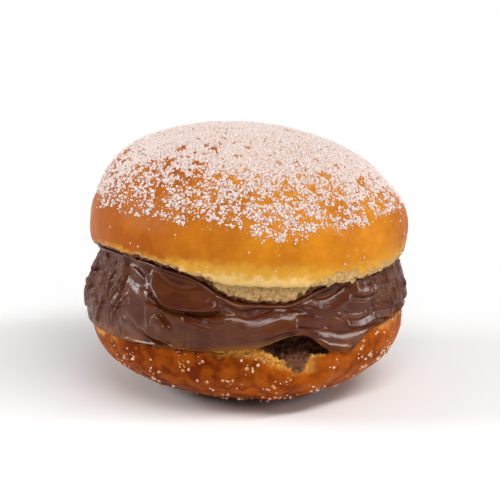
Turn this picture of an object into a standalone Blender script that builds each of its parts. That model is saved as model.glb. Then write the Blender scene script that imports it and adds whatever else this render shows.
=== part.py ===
"""A round raised doughnut cut level into two halves, with a thick layer of chocolate cream between them.

Frame: +Z up, origin under the middle of the object on the surface that it stands on, and -Y is its front.
Each solid is a turned body whose profile changes with the angle, as hand-shaped dough and cream do.
"""

import math

import bmesh
import bpy

MM = 0.001
STEPS = 72  # profiles in a full turn

# Driving dimensions
BUN_RADIUS = 44.0 * MM  # of the upper half at its widest
TOTAL_HEIGHT = 73.0 * MM
LOWER_RADIUS = 43.2 * MM  # of the lower half at its rim
FOOT_SINK = 0.9 * MM  # how much of the rounded underside the weight has pressed flat
LOWER_HEIGHT = 22.3 * MM  # from the foot to the lower cut, on average
UPPER_CUT_HEIGHT = 39.8 * MM  # of the upper cut, on average
WAIST_HEIGHT = 46.5 * MM  # where the upper half is widest
CREAM_BULGE = 1.4 * MM  # how far the cream stands out past the crusts
CONTACT_GAP = 0.3 * MM  # between two solids that touch

# How level the two cuts are, as rise per metre towards +X
LOWER_CUT_SLOPE = 0.048
UPPER_TILT = -0.032

# Unevenness: (waves in a turn, size, phase), the size as a share of the radius or as a height
OUTLINE_WAVES = ((2, 0.008, 0.6), (3, 0.006, -1.1), (5, 0.004, 2.0))
LOWER_CUT_WAVES = ((2, 0.3 * MM, 2.2), (5, 0.35 * MM, 0.4), (7, 0.25 * MM, 2.2))
UPPER_CUT_WAVES = ((2, 1.4 * MM, -1.33), (3, 0.7 * MM, 0.9), (5, 0.4 * MM, -0.3))
CREAM_WAVES = ((1, 0.4 * MM, math.pi), (4, 0.5 * MM, 0.9), (7, 0.4 * MM, 2.6))

# Upper half
DOME_POWER = 2.2  # 2 is an ellipse, and more is squarer at the shoulder
DOME_POWER_SWAY = -0.25  # added towards +X and taken off towards -X
DOME_TILT = -0.03  # rise per metre towards +X
DOME_RINGS = 13
CRUST_LIP = 1.6 * MM  # the crust's thickness where it is cut
UNDERCUT = 0.6 * MM  # how far the side draws in between the waist and the cut
TONGUE_ANGLE = math.radians(-85)  # the torn crumb that hangs below the crust at the front
TONGUE_SPREAD = math.radians(24)
TONGUE_DROP = 5.0 * MM
TONGUE_INNER = 0.55  # share of the radius where it starts to hang

# Lower half
BOWL_POWER = 2.2
BOWL_RINGS = 9
LOWER_SHIFT = -0.6 * MM  # how far its rim sits off to one side, along X
FOOT_SHIFT = 2.2 * MM  # and its foot
POCKET_ANGLE = math.radians(-70)  # the torn hollow under the cream, front right
POCKET_SPREAD = math.radians(18)
POCKET_DEPTH = 5.6 * MM
POCKET_ARCH = 1.8 * MM  # how far the cream lifts over it
POCKET_INNER = 0.75  # share of the radius where it starts

# Cream
CREAM_RINGS = 10
DROOP = 0.8 * MM  # how far the cream hangs over the lower rim
LOBE_ANGLE = math.radians(-56)  # where a lobe of it hangs further
LOBE_SPREAD = math.radians(16)
LOBE_DROP = 4.6 * MM
FOLDS = (  # (waves in a turn, turns of twist up the side, size, phase)
    (3, 0.9, 0.8 * MM, 0.3),
    (5, -1.3, 0.5 * MM, 1.7),
    (9, 2.1, 0.3 * MM, 4.0),
)

# Shares of the radius at which the faces between dough and cream have a ring
CUT_RINGS = (0.22, 0.44, 0.62, 0.77, 0.87, 0.93)

CRUST = (0.69, 0.26, 0.035, 1.0)
DARK_CRUST = (0.38, 0.11, 0.02, 1.0)
CREAM = (0.10, 0.032, 0.012, 1.0)


def waves(theta, terms):
    """The sum of a few cosines round the doughnut."""
    return sum(size * math.cos(count * theta + phase) for count, size, phase in terms)


def smooth(low, high, value):
    """0 below low, 1 above high, and an S-curve between."""
    share = min(max((value - low) / (high - low), 0.0), 1.0)
    return share * share * (3 - 2 * share)


def swell(theta, centre, spread):
    """1 at the angle centre, falling smoothly to 0 at spread either side."""
    away = abs((theta - centre + math.pi) % (2 * math.pi) - math.pi)
    return 1 - smooth(0.25 * spread, spread, away)


def outline(theta):
    return 1 + waves(theta, OUTLINE_WAVES)


def lower_radius(theta):
    """Radius of the lower half's rim."""
    return LOWER_RADIUS * outline(theta) + LOWER_SHIFT * math.cos(theta)


def lower_cut(theta, share):
    """Height of the lower half's cut face, without the pocket, at a share of the rim's radius."""
    slope = LOWER_CUT_SLOPE * math.cos(theta) * share * LOWER_RADIUS
    return LOWER_HEIGHT + slope + waves(theta, LOWER_CUT_WAVES) * share**2


def upper_cut(theta, share):
    """Height of the upper half's cut face, without the tongue."""
    tilt = UPPER_TILT * math.cos(theta) * share * BUN_RADIUS
    return UPPER_CUT_HEIGHT + tilt + waves(theta, UPPER_CUT_WAVES) * share**2


def tongue(theta, share):
    """How far the torn crumb hangs below the upper cut."""
    return TONGUE_DROP * swell(theta, TONGUE_ANGLE, TONGUE_SPREAD) * smooth(TONGUE_INNER, 0.9, share)


def pocket(theta, share):
    """0 to 1: how much of the pocket's depth the lower half has lost here."""
    return swell(theta, POCKET_ANGLE, POCKET_SPREAD) * smooth(POCKET_INNER, 0.95, share)


def lower_profile(theta):
    """(radius, height) points of the lower half, from the middle of its foot to the middle of its cut."""
    radius = lower_radius(theta)
    rim = lower_cut(theta, 1.0) - POCKET_DEPTH * pocket(theta, 1.0)
    side = rim - CRUST_LIP
    depth = side + FOOT_SINK
    foot_turn = math.asin((side / depth) ** (BOWL_POWER / 2))
    points = [(0.0, 0.0)]
    for ring in range(BOWL_RINGS + 1):
        turn = foot_turn * (1 - ring / BOWL_RINGS)
        height = side - depth * math.sin(turn) ** (2 / BOWL_POWER)
        shift = FOOT_SHIFT * math.cos(theta) * (1 - height / side)
        points.append((radius * math.cos(turn) ** (2 / BOWL_POWER) + shift, max(height, 0.0)))
    points.append((radius - 0.3 * CRUST_LIP, rim - 0.3 * CRUST_LIP))
    for share in reversed(CUT_RINGS):
        points.append((share * radius, lower_cut(theta, share) - POCKET_DEPTH * pocket(theta, share)))
    points.append((0.0, lower_cut(theta, 0.0)))
    return points


def upper_profile(theta):
    """(radius, height) points of the upper half, from the middle of its cut over the rim to the top."""
    radius = BUN_RADIUS * outline(theta)
    lean = DOME_TILT * math.cos(theta)
    power = DOME_POWER + DOME_POWER_SWAY * math.cos(theta)
    rim = upper_cut(theta, 1.0)
    points = [(0.0, upper_cut(theta, 0.0))]
    for share in CUT_RINGS:
        points.append((share * radius, upper_cut(theta, share) - tongue(theta, share)))
    points.append((radius - UNDERCUT - CRUST_LIP, rim + 0.25 * CRUST_LIP))
    points.append((radius - UNDERCUT - 0.5 * CRUST_LIP, rim))
    points.append((radius - UNDERCUT, rim + 0.6 * CRUST_LIP))
    points.append((radius - 0.3 * UNDERCUT, 0.5 * (rim + WAIST_HEIGHT)))
    for ring in range(DOME_RINGS):
        turn = ring / DOME_RINGS * math.pi / 2
        side = radius * math.cos(turn) ** (2 / power)
        climb = (TOTAL_HEIGHT - WAIST_HEIGHT) * math.sin(turn) ** (2 / power)
        points.append((side, WAIST_HEIGHT + climb + lean * side))
    points.append((0.0, TOTAL_HEIGHT))
    return points


def cream_profile(theta):
    """(radius, height) points of the cream, from the middle of its underside to the middle of its top."""
    rim_radius = lower_radius(theta)
    bun_radius = BUN_RADIUS * outline(theta)

    def floor(share):
        return lower_cut(theta, share) + CONTACT_GAP + POCKET_ARCH * pocket(theta, share)

    def ceiling(share):
        return upper_cut(theta, share) - tongue(theta, share) - CONTACT_GAP

    points = [(0.0, floor(0.0))]
    points += [(share * rim_radius, floor(share)) for share in CUT_RINGS]
    points.append((rim_radius + CONTACT_GAP, floor(1.0)))
    low = floor(1.0) - DROOP - LOBE_DROP * swell(theta, LOBE_ANGLE, LOBE_SPREAD)
    high = ceiling(CUT_RINGS[-1]) - 0.2 * CRUST_LIP
    for ring in range(CREAM_RINGS + 1):
        share = ring / CREAM_RINGS
        inner = rim_radius + CONTACT_GAP + share * (bun_radius - UNDERCUT - CRUST_LIP - rim_radius)
        bulge = (CREAM_BULGE + waves(theta, CREAM_WAVES)) * math.sin(math.pi * (0.12 + 0.84 * share))
        fold = sum(
            size * math.sin(count * theta + 2 * math.pi * twist * share + phase)
            for count, twist, size, phase in FOLDS
        )
        points.append((inner + bulge + fold * math.sin(math.pi * share), low + (high - low) * share))
    points += [(share * bun_radius, ceiling(share)) for share in reversed(CUT_RINGS)]
    points.append((0.0, ceiling(0.0)))
    return points


def turned_solid(name, profile, material, collection):
    """A closed body from profile(theta), which starts and ends on the Z axis and has as many points at any angle.

    A straight chart, one unit wide and one unit high for each point, is spun; its vertices then go to their places.
    """
    count = len(profile(0.0))
    bm = bmesh.new()
    chart = [bm.verts.new((0.0 if ring in (0, count - 1) else 1.0, 0.0, ring)) for ring in range(count)]
    edges = [bm.edges.new(pair) for pair in zip(chart, chart[1:])]
    bmesh.ops.spin(
        bm,
        geom=chart + edges,
        cent=(0, 0, 0),
        axis=(0, 0, 1),
        angle=2 * math.pi,
        steps=STEPS,
        use_merge=True,
    )
    bmesh.ops.remove_doubles(bm, verts=bm.verts, dist=0.01)
    profiles = {}
    for vert in bm.verts:
        theta = math.atan2(vert.co.y, vert.co.x)
        step = round(theta / (2 * math.pi) * STEPS) % STEPS
        if step not in profiles:
            profiles[step] = profile(step * 2 * math.pi / STEPS)
        radius, height = profiles[step][round(vert.co.z)]
        vert.co = (radius * math.cos(theta), radius * math.sin(theta), height)
    bmesh.ops.triangulate(bm, faces=bm.faces)
    bmesh.ops.recalc_face_normals(bm, faces=bm.faces)
    mesh = bpy.data.meshes.new(name)
    bm.to_mesh(mesh)
    bm.free()
    mesh.materials.append(material)
    mesh.shade_smooth()
    solid = bpy.data.objects.new(name, mesh)
    collection.objects.link(solid)
    return solid


def finish(name, colour, roughness):
    material = bpy.data.materials.new(name)
    material.use_nodes = True
    shader = material.node_tree.nodes["Principled BSDF"]
    shader.inputs["Base Color"].default_value = colour
    shader.inputs["Roughness"].default_value = roughness
    return material


def centre_on_origin(solids):
    """Moves the meshes together so that the middle of their common box is above the origin."""
    corners = [vert.co for solid in solids for vert in solid.data.vertices]
    for axis in (0, 1):
        values = [corner[axis] for corner in corners]
        middle = (min(values) + max(values)) / 2
        for corner in corners:
            corner[axis] -= middle


def main():
    for leftover in list(bpy.data.objects):
        bpy.data.objects.remove(leftover)
    collection = bpy.data.collections.new("filled_doughnut")
    bpy.context.scene.collection.children.link(collection)
    solids = [
        turned_solid("bun_lower_half", lower_profile, finish("dark_crust", DARK_CRUST, 0.5), collection),
        turned_solid("chocolate_cream", cream_profile, finish("cream", CREAM, 0.25), collection),
        turned_solid("bun_upper_half", upper_profile, finish("crust", CRUST, 0.5), collection),
    ]
    centre_on_origin(solids)


if __name__ == "__main__":
    main()
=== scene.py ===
"""A doughnut filled with chocolate cream: its two bun halves, its cream, and its sugar and crumbs.

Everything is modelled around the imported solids, in metres, with -Y as the front. An azimuth is counted from the
front, in degrees, and grows to the right of someone who faces the doughnut.
"""

import math

import bmesh
import bpy
import numpy as np
from bpy.props import FloatProperty, FloatVectorProperty, IntProperty, PointerProperty
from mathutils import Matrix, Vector, noise


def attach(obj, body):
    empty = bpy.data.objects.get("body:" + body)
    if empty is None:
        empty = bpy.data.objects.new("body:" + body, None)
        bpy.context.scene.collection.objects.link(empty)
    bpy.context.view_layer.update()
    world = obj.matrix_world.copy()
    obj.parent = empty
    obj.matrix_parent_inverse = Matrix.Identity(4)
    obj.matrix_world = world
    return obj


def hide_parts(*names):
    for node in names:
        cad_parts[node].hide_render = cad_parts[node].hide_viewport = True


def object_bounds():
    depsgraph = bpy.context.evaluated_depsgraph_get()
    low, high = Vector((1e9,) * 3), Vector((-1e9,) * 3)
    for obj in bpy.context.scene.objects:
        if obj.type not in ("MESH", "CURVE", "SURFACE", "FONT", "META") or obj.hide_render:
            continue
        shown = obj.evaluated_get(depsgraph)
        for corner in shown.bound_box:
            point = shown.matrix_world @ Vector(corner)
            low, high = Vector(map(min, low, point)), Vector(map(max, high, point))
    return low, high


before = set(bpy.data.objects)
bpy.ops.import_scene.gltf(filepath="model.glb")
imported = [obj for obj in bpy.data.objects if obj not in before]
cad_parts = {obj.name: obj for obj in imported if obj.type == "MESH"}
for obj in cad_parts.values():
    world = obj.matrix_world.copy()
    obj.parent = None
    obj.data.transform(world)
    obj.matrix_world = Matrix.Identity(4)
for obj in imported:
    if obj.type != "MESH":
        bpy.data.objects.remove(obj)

bl_info = {
    "name": "Filled Doughnut",
    "version": (1, 0, 0),
    "blender": (4, 5, 0),
    "location": "View3D > Sidebar > Doughnut",
    "description": "Builds a doughnut filled with chocolate cream and dusted with sugar",
    "category": "Add Mesh",
}

MM = 0.001
CAD_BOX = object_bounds()
MERGE_DISTANCE = 1e-6

# Unevenness of the solids: (waves in a turn, size, phase), the size as a share of the radius or as a height
OUTLINE_WAVES = ((2, 0.008, 0.6), (3, 0.006, -1.1), (5, 0.004, 2.0))
LOWER_CUT_WAVES = ((2, 0.3 * MM, 2.2), (5, 0.35 * MM, 0.4), (7, 0.25 * MM, 2.2))
UPPER_CUT_WAVES = ((2, 1.4 * MM, -1.33), (3, 0.7 * MM, 0.9), (5, 0.4 * MM, -0.3))
CREAM_WAVES = ((1, 0.4 * MM, math.pi), (4, 0.5 * MM, 0.9), (7, 0.4 * MM, 2.6))

# Rise per metre towards +X
LOWER_CUT_SLOPE = 0.048
UPPER_TILT = -0.032
DOME_TILT = -0.03

CUT_RINGS = (0.22, 0.44, 0.62, 0.77, 0.87, 0.93)  # shares of the radius where a cut face has a ring
BOWL_RINGS = 9
DOME_RINGS = 13
CREAM_RINGS = 10

# Steps round the doughnut of the fine grids
BUN_STEPS = 520
CREAM_STEPS = 880

# Radii in mm that turn an azimuth into a length along the side
BUN_SIDE = 44
CREAM_SIDE = 45.5
STROKE_SIDE = 46

# The cream's folds, made stronger and sunk in, and the level of its smooth faces, in mm
FOLD_GAIN = 1.3
FOLD_SINK = 0.7
FACE_LEVEL = 0.1


# Shapes -------------------------------------------------------------------------------------------------------


def azimuth(degrees):
    """The angle about +Z, from +X, of an azimuth counted from the front."""
    return math.radians(degrees - 90)


def waves(theta, terms):
    """The sum of a few cosines round the doughnut."""
    return sum(size * np.cos(count * theta + phase) for count, size, phase in terms)


def smooth(low, high, value):
    """0 below low, 1 above high, and an S-curve between. With low above high it falls instead."""
    share = np.clip((value - low) / (high - low), 0.0, 1.0)
    return share * share * (3 - 2 * share)


def swell(theta, centre, spread):
    """1 at the angle centre, falling smoothly to 0 at spread either side."""
    away = np.abs((theta - centre + math.pi) % (2 * math.pi) - math.pi)
    return 1 - smooth(0.25 * spread, spread, away)


def outline(theta):
    return 1 + waves(theta, OUTLINE_WAVES)


def lower_radius(theta, bun):
    """Radius of the lower half's rim."""
    return bun.lower_radius * outline(theta) + bun.lower_shift * np.cos(theta)


def lower_cut(theta, share, bun):
    """Height of the lower half's cut face, without the pocket, at a share of the rim's radius."""
    slope = LOWER_CUT_SLOPE * np.cos(theta) * share * bun.lower_radius
    return bun.lower_height + slope + waves(theta, LOWER_CUT_WAVES) * share**2


def upper_cut(theta, share, bun):
    """Height of the upper half's cut face, without the tongue."""
    tilt = UPPER_TILT * np.cos(theta) * share * bun.upper_radius
    return bun.upper_cut_height + tilt + waves(theta, UPPER_CUT_WAVES) * share**2


def tongue(theta, share, bun):
    """How far the torn crumb hangs below the upper cut."""
    return bun.tongue_drop * swell(theta, bun.tongue_angle, bun.tongue_spread) * smooth(0.55, 0.9, share)


def pocket(theta, share, bun):
    """0 to 1: how much of the pocket's depth the lower half has lost here."""
    away = np.abs((theta - bun.pocket_angle + math.pi) % (2 * math.pi) - math.pi) / bun.pocket_spread
    return smooth(1.05, 0.45, away) * smooth(0.75, 0.95, share)


def lower_profile(theta, bun):
    """(radius, height) of the lower half's rings, from the middle of its foot to the middle of its cut."""
    radius = lower_radius(theta, bun)
    rim = lower_cut(theta, 1.0, bun) - bun.pocket_depth * pocket(theta, 1.0, bun)
    side = rim - bun.crust_lip
    depth = side + bun.foot_sink
    foot_turn = np.arcsin((side / depth) ** (bun.bowl_power / 2))
    rings = [(0 * theta, 0 * theta)]
    for ring in range(BOWL_RINGS + 1):
        turn = foot_turn * (1 - ring / BOWL_RINGS)
        height = side - depth * np.sin(turn) ** (2 / bun.bowl_power)
        shift = bun.foot_shift * np.cos(theta) * (1 - height / side)
        rings.append((radius * np.cos(turn) ** (2 / bun.bowl_power) + shift, np.maximum(height, 0.0)))
    rings.append((radius - 0.3 * bun.crust_lip, rim - 0.3 * bun.crust_lip))
    for share in reversed(CUT_RINGS):
        drop = bun.pocket_depth * pocket(theta, share, bun)
        rings.append((share * radius, lower_cut(theta, share, bun) - drop))
    rings.append((0 * theta, lower_cut(theta, 0.0, bun)))
    return rings


def upper_profile(theta, bun):
    """(radius, height) of the upper half's rings, from the middle of its cut over the rim to the top."""
    radius = bun.upper_radius * outline(theta)
    lean = DOME_TILT * np.cos(theta)
    power = bun.dome_power + bun.dome_power_sway * np.cos(theta)
    rim = upper_cut(theta, 1.0, bun)
    rings = [(0 * theta, upper_cut(theta, 0.0, bun))]
    for share in CUT_RINGS:
        rings.append((share * radius, upper_cut(theta, share, bun) - tongue(theta, share, bun)))
    rings.append((radius - bun.undercut - bun.crust_lip, rim + 0.25 * bun.crust_lip))
    rings.append((radius - bun.undercut - 0.5 * bun.crust_lip, rim))
    rings.append((radius - bun.undercut, rim + 0.6 * bun.crust_lip))
    rings.append((radius - 0.3 * bun.undercut, 0.5 * (rim + bun.waist_height)))
    for ring in range(DOME_RINGS):
        turn = ring / DOME_RINGS * math.pi / 2
        side = radius * math.cos(turn) ** (2 / power)
        climb = (bun.total_height - bun.waist_height) * math.sin(turn) ** (2 / power)
        rings.append((side, bun.waist_height + climb + lean * side))
    rings.append((0 * theta, bun.total_height + 0 * theta))
    return rings


def cream_profile(theta, bun, cream):
    """(radius, height) of the cream's rings, from the middle of its underside to the middle of its top."""
    rim_radius = lower_radius(theta, bun)
    bun_radius = bun.upper_radius * outline(theta)

    def floor(share):
        lift = cream.arch * swell(theta, bun.pocket_angle, bun.pocket_spread) * smooth(0.75, 0.95, share)
        return lower_cut(theta, share, bun) + cream.gap + lift

    def ceiling(share):
        return upper_cut(theta, share, bun) - tongue(theta, share, bun) - cream.gap

    rings = [(0 * theta, floor(0.0))]
    rings += [(share * rim_radius, floor(share)) for share in CUT_RINGS]
    rings.append((rim_radius - 0.1 * cream.gap, floor(1.0)))
    low = floor(1.0) - cream.droop - cream.lobe_drop * swell(theta, cream.lobe_angle, cream.lobe_spread)
    high = ceiling(CUT_RINGS[-1]) - 0.2 * bun.crust_lip
    for ring in range(CREAM_RINGS + 1):
        share = ring / CREAM_RINGS
        inner = rim_radius + cream.gap + share * (bun_radius - bun.undercut - bun.crust_lip - rim_radius)
        bulge = (cream.bulge + waves(theta, CREAM_WAVES)) * math.sin(math.pi * (0.12 + 0.84 * share))
        rings.append((inner + bulge, low + (high - low) * share))
    rings += [(share * bun_radius, ceiling(share)) for share in reversed(CUT_RINGS)]
    rings.append((0 * theta, ceiling(0.0)))
    return rings


def bun_axis(bun):
    """Where the bun's own axis stands: the top's middle vertex, which lies at the full height."""
    corners = [vert.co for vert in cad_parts["bun_upper_half"].data.vertices]
    top = min(corners, key=lambda corner: abs(corner.z - bun.total_height) + 0.01 * corner.xy.length)
    return top.x, top.y


def through(a, b, c, d, t):
    """A smooth curve from b at t = 0 to c at t = 1, on its way from a to d."""
    return 0.5 * (2 * b + (c - a) * t + (2 * a - 5 * b + 4 * c - d) * t**2 + (3 * b - a - 3 * c + d) * t**3)


def fine_grid(rings, counts, theta, axis):
    """Points (around, up, xyz) on a smooth surface through the rings, with counts[i] rows from ring i on."""
    profile = np.stack([np.stack(ring, axis=-1) for ring in rings], axis=1)
    first = 2 * profile[:, :1] - profile[:, 1:2]
    last = 2 * profile[:, -1:] - profile[:, -2:-1]
    knots = np.concatenate([first, profile, last], axis=1)
    rows = []
    for i, count in enumerate(counts):
        a, b, c, d = (knots[:, i + k, None] for k in range(4))
        t = (np.arange(count) / count)[None, :, None]
        rows.append(through(a, b, c, d, t))
    rows.append(profile[:, -1:])
    curve = np.concatenate(rows, axis=1)
    x = axis[0] + curve[..., 0] * np.cos(theta)[:, None]
    y = axis[1] + curve[..., 0] * np.sin(theta)[:, None]
    return np.stack([x, y, curve[..., 1]], axis=-1)


def outward(points):
    """Unit normals of a grid of points that closes on itself around the Z axis."""
    around = np.roll(points, -1, axis=0) - np.roll(points, 1, axis=0)
    normals = np.cross(around, np.gradient(points, axis=1))
    normals[:, 0] = (0, 0, -1)
    normals[:, -1] = (0, 0, 1)
    return normals / np.maximum(np.linalg.norm(normals, axis=-1, keepdims=True), 1e-12)


def azimuths(points, axis):
    """Each point's azimuth in degrees, from -180 to 180."""
    return np.degrees(np.arctan2(points[..., 0] - axis[0], axis[1] - points[..., 1]))


def mapped(profile, counts, steps, bun):
    """A fine grid round the bun's axis: its directions, points, normals, azimuths and row numbers."""
    theta = np.arange(steps) * 2 * math.pi / steps
    axis = bun_axis(bun)
    points = fine_grid(profile(theta), counts, theta, axis)
    points[..., 2] = np.maximum(points[..., 2], 0.0)
    angle = azimuths(points, axis)
    row = np.arange(points.shape[1])[None, :] + 0 * angle
    return theta, points, outward(points), angle, row


def ripple(points, size, seed, octaves=1, stretch=(1.0, 1.0, 1.0)):
    """Smooth noise between about -1 and 1, with lumps of the given size."""
    places = points.reshape(-1, 3) / (size * np.array(stretch)) + 17.3 * seed
    if octaves == 1:
        values = [noise.noise(place) for place in places.tolist()]
    else:
        values = [noise.fractal(place, 0.9, 2.0, octaves) for place in places.tolist()]
    return np.array(values).reshape(points.shape[:-1])


def pores(points, size, seed, where):
    """1 in the middle of round pits, falling to 0 between them, where the mask is above 0."""
    found = np.zeros(points.shape[:-1])
    chosen = where > 0
    places = points[chosen] / size + 9.1 * seed
    near = np.array([noise.voronoi(place)[0][0] for place in places.tolist()])
    found[chosen] = 1 - smooth(0.1, 0.55, near)
    return found


def wrapped_mesh(name, points, attributes):
    """An object made of a flat grid that is rolled up into the points, with its ends drawn to a point each."""
    around, up = points.shape[0], points.shape[1] - 1
    bm = bmesh.new()
    bmesh.ops.create_grid(bm, x_segments=around, y_segments=up, size=1.0)
    layers = [(bm.verts.layers.float.new(key), values) for key, values in attributes.items()]
    for vert in bm.verts:
        column = round((vert.co.x + 1) / 2 * around) % around
        row = round((vert.co.y + 1) / 2 * up)
        vert.co = points[column, row]
        for layer, values in layers:
            vert[layer] = values[column, row]
    bmesh.ops.remove_doubles(bm, verts=bm.verts, dist=MERGE_DISTANCE)
    bmesh.ops.recalc_face_normals(bm, faces=bm.faces)
    return linked(name, bm)


def linked(name, bm):
    """Turns a bmesh into a smooth object in the scene."""
    mesh = bpy.data.meshes.new(name)
    bm.to_mesh(mesh)
    bm.free()
    mesh.shade_smooth()
    piece = bpy.data.objects.new(name, mesh)
    bpy.context.scene.collection.objects.link(piece)
    return piece


def place_piece(piece, material, node):
    """Finishes a piece and hands it to the frame."""
    piece.data.materials.append(material)
    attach(piece, "root")
    if node:
        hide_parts(node)


# Materials ----------------------------------------------------------------------------------------------------


class Finish:
    """A Principled material that is put together from a few kinds of node."""

    def __init__(self, name, roughness, specular=0.5):
        self.material = bpy.data.materials.new(name)
        self.material.use_nodes = True
        self.tree = self.material.node_tree
        self.shader = self.tree.nodes["Principled BSDF"]
        self.shader.inputs["Roughness"].default_value = roughness
        self.shader.inputs["Specular IOR Level"].default_value = specular
        self.place = self.tree.nodes.new("ShaderNodeTexCoord").outputs["Object"]

    def node(self, kind, **inputs):
        made = self.tree.nodes.new(kind)
        for key, value in inputs.items():
            self.set(made.inputs[key.replace("_", " ")], value)
        return made

    def set(self, socket, value):
        if isinstance(value, bpy.types.NodeSocket):
            self.tree.links.new(value, socket)
        else:
            socket.default_value = value

    def attribute(self, name):
        made = self.tree.nodes.new("ShaderNodeAttribute")
        made.attribute_name = name
        return made.outputs["Fac"]

    def noise(self, size, detail=3.0, stretch=(1.0, 1.0, 1.0)):
        """Noise from 0 to 1 with lumps of a size in metres."""
        mapping = self.node("ShaderNodeMapping", Vector=self.place)
        mapping.inputs["Scale"].default_value = stretch
        made = self.node("ShaderNodeTexNoise", Vector=mapping.outputs[0], Scale=1 / size, Detail=detail)
        return made.outputs["Fac"]

    def cells(self, size):
        """Distance from the middle of the nearest cell, in cell sizes."""
        return self.node("ShaderNodeTexVoronoi", Vector=self.place, Scale=1 / size).outputs["Distance"]

    def ramp(self, value, low, high, start=0.0, end=1.0):
        made = self.node("ShaderNodeMapRange", Value=value)
        made.interpolation_type = "SMOOTHSTEP"
        for key, number in (("From Min", low), ("From Max", high), ("To Min", start), ("To Max", end)):
            made.inputs[key].default_value = number
        return made.outputs["Result"]

    def math(self, operation, a, b=0.0):
        made = self.tree.nodes.new("ShaderNodeMath")
        made.operation = operation
        made.use_clamp = operation in ("MULTIPLY", "ADD", "SUBTRACT", "MAXIMUM")
        self.set(made.inputs[0], a)
        self.set(made.inputs[1], b)
        return made.outputs[0]

    def mix(self, share, a, b):
        made = self.tree.nodes.new("ShaderNodeMix")
        made.data_type = "RGBA"
        self.set(made.inputs["Factor"], share)
        self.set(made.inputs["A"], a)
        self.set(made.inputs["B"], b)
        return made.outputs["Result"]

    def bump(self, height, distance, strength=1.0, below=None):
        made = self.node("ShaderNodeBump", Height=height, Distance=distance, Strength=strength)
        if below:
            self.set(made.inputs["Normal"], below)
        return made.outputs["Normal"]

    def done(self, colour, roughness=None, normal=None, soft=None):
        self.set(self.shader.inputs["Base Color"], colour)
        if roughness:
            self.set(self.shader.inputs["Roughness"], roughness)
        if normal:
            self.set(self.shader.inputs["Normal"], normal)
        if soft:
            self.shader.inputs["Subsurface Weight"].default_value = soft[0]
            self.shader.inputs["Subsurface Radius"].default_value = soft[1]
            self.shader.inputs["Subsurface Scale"].default_value = MM
        return self.material


def crust_finish(name, colours, shine, dust, contrast):
    """Fried crust that pales towards its cut, with crumb where it is torn, cream stains and a dust of sugar. Its
    browning also holds painted shade, and its crumb and stains hold painted shade in their hollows.
    """
    made = Finish(name, 0.45, shine)
    blotches = made.noise(13 * MM, 3.0)
    mottle = made.noise(2.2 * MM, 4.0)
    grain = made.noise(0.6 * MM, 3.0)
    fleck = made.noise(1.3 * MM, 1.0, (1.0, 1.0, 0.5))
    patches = made.noise(3.4 * MM, 4.0, (1.0, 1.0, 0.8))
    # toast_and_shade darkens the crust. It is real browning, plus painted shade at the left side and, on the
    # lower half, towards the floor
    toast_and_shade = made.math("ADD", made.attribute("toast_and_shade"), made.ramp(blotches, 0.35, 0.7, -0.18, 0.25))
    toast_and_shade = made.math("ADD", toast_and_shade, made.ramp(patches, 0.35, 0.7, -contrast, contrast))
    crust = made.mix(toast_and_shade, colours.crust, colours.dark_crust)
    crust = made.mix(made.ramp(mottle, 0.35, 0.75, 0.0, 0.3), crust, colours.dark_crust)
    crust = made.mix(made.ramp(fleck, 0.72, 0.8, 0.0, 0.45), crust, colours.band)
    crust = made.mix(made.ramp(made.cells(2.7 * MM), 0.04, 0.12, 0.35, 0.0), crust, colours.scorch)
    pale = made.math("ADD", made.attribute("pale"), made.ramp(mottle, 0.3, 0.7, -0.12, 0.12))
    crust = made.mix(made.ramp(pale, 0.08, 0.6), crust, colours.band)
    crust = made.mix(made.ramp(pale, 0.62, 0.95), crust, colours.cream_band)
    crumb = made.mix(made.ramp(pale, 0.3, 1.0, 0.0, 0.6), colours.crumb, colours.cream_band)
    # Painted shade: a darker crumb colour, mixed in by fine noise, stands in for the shade in the crumb's hollows
    crumb = made.mix(made.ramp(grain, 0.35, 0.7), crumb, colours.crumb_hollow_shade)
    crust = made.mix(made.attribute("crumb"), crust, crumb)
    stain = made.math("ADD", made.attribute("stain"), made.ramp(mottle, 0.3, 0.7, -0.25, 0.25))
    # The cream stain is real; the darker spots at the cell middles are painted shade for the stained crumb's
    # hollows
    stain_and_hollow_shade = made.mix(made.ramp(made.cells(1.5 * MM), 0.15, 0.5), colours.stain_hollow_shade, colours.stain)
    crust = made.mix(made.ramp(stain, 0.3, 0.6), crust, stain_and_hollow_shade)
    speckle = made.math("ADD", made.attribute("dust"), made.ramp(grain, 0.3, 0.7, -0.3, 0.3))
    crust = made.mix(made.ramp(speckle, 0.55, 0.95, 0.0, dust), crust, colours.sugar_dust)
    normal = made.bump(mottle, 0.25 * MM, 0.5)
    normal = made.bump(grain, 0.12 * MM, 0.5, normal)
    roughness = made.ramp(made.attribute("crumb"), 0.0, 0.6, 0.42, 0.85)
    return made.done(crust, roughness, normal, (0.12, (2.0, 1.0, 0.5)))


def cream_finish(colours):
    """Glossy chocolate cream, duller where it is smeared thin, and more orange at its thin edges."""
    made = Finish("chocolate_cream", 0.25, colours.shine)
    cloud = made.noise(7 * MM, 3.0, (1.0, 1.0, 1.6))
    grain = made.noise(0.8 * MM, 4.0, (1.0, 1.0, 2.0))
    cream = made.mix(made.ramp(cloud, 0.3, 0.7), colours.dark, colours.light)
    cream = made.mix(made.ramp(made.attribute("thin"), 0.1, 0.9, 0.0, 0.7), cream, colours.edge)
    smear = made.math("ADD", made.attribute("smear"), made.ramp(cloud, 0.4, 0.75, 0.0, 0.2))
    roughness = made.ramp(smear, 0.0, 1.0, 0.13, 0.34)
    normal = made.bump(grain, 0.12 * MM, 0.35)
    return made.done(cream, roughness, normal, (0.08, (1.2, 0.5, 0.3)))


def sugar_finish(name, colour, tint):
    """White sugar with a faint tint from the crust under it."""
    made = Finish(name, 0.3)
    cloud = made.noise(1.1 * MM, 2.0)
    return made.done(made.mix(made.ramp(cloud, 0.3, 0.7), colour, tint), soft=(0.35, (0.6, 0.4, 0.35)))


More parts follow.
